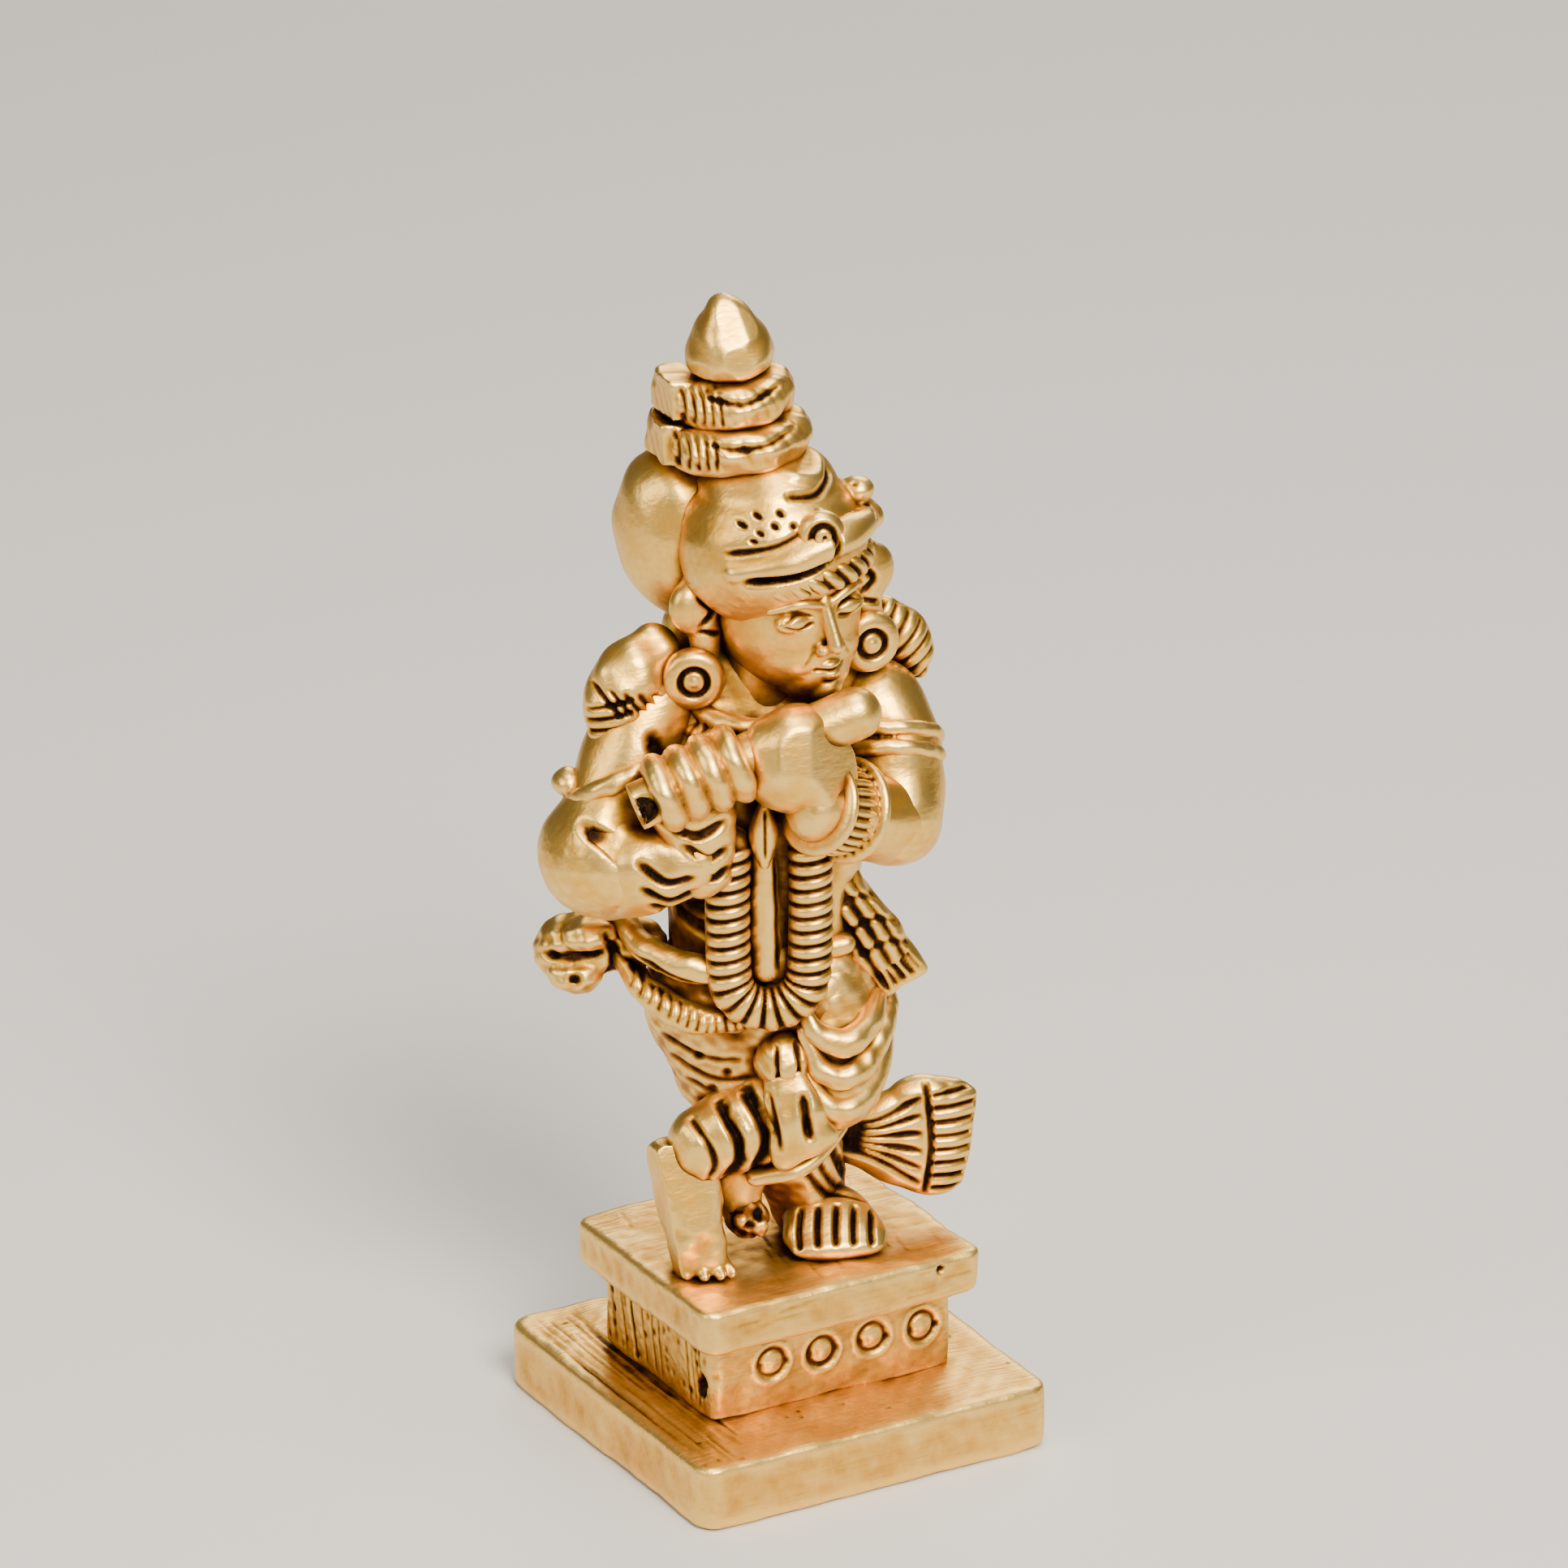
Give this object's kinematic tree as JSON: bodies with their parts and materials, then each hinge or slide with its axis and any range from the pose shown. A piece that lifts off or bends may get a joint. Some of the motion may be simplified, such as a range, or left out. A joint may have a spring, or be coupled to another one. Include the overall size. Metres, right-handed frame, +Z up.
{
  "type": "standing flute player figurine",
  "caption": "Small cast brass figurine of a crowned flute player, ankles crossed, on a stepped rectangular pedestal with a punched neck.",
  "frame": {"origin": "middle of the pedestal's flat underside", "axes": "+Z up to the crown's tip, -Y the pedestal's punched front, +X to the right as seen from the front"},
  "size_m": [0.0194, 0.0176, 0.0507],
  "materials": {
    "pedestal_brass": "filed and hand-rubbed, scratched flats, brown in the inside corners",
    "figure_brass": "hand-polished high points over a dark brown patina in the recesses"
  },
  "bodies": {
    "root": {"ankle_bell": "figure_brass", "brow_band": "figure_brass", "cap_slab": "pedestal_brass", "collar": "figure_brass", "crest_medallion": "figure_brass", "crossing_shin": "figure_brass", "crossing_thigh": "figure_brass", "crown_finial": "figure_brass", "crown_lower_tier": "figure_brass", "crown_upper_tier": "figure_brass", "dhoti_hips": "figure_brass", "flute": "figure_brass", "foot_slab": "pedestal_brass", "front_pleat": "figure_brass", "garland": "figure_brass", "garland_cord": "figure_brass", "hair_bun": "figure_brass", "head": "figure_brass", "hem_fan": "figure_brass", "hem_roll": "figure_brass", "left_armlet": "figure_brass", "left_cuff": "figure_brass", "left_ear": "figure_brass", "left_earring": "figure_brass", "left_forearm": "figure_brass", "left_hair_lock": "figure_brass", "left_hand": "figure_brass", "left_upper_arm": "figure_brass", "neck_block": "pedestal_brass", "pendant_leaf": "figure_brass", "right_armlet": "figure_brass", "right_ear": "figure_brass", "right_earring": "figure_brass", "right_fingers": "figure_brass", "right_forearm": "figure_brass", "right_hand": "figure_brass", "right_shoulder_lock": "figure_brass", "right_upper_arm": "figure_brass", "sash_knot": "figure_brass", "sash_tail": "figure_brass", "standing_foot": "figure_brass", "standing_leg": "figure_brass", "thigh_swag_1": "figure_brass", "thigh_swag_2": "figure_brass", "thigh_swag_3": "figure_brass", "throat": "figure_brass", "tiptoe_foot": "figure_brass", "torso": "figure_brass", "turban": "figure_brass", "waist_rosette": "figure_brass", "waist_sash": "figure_brass"}
  },
  "joints": []
}
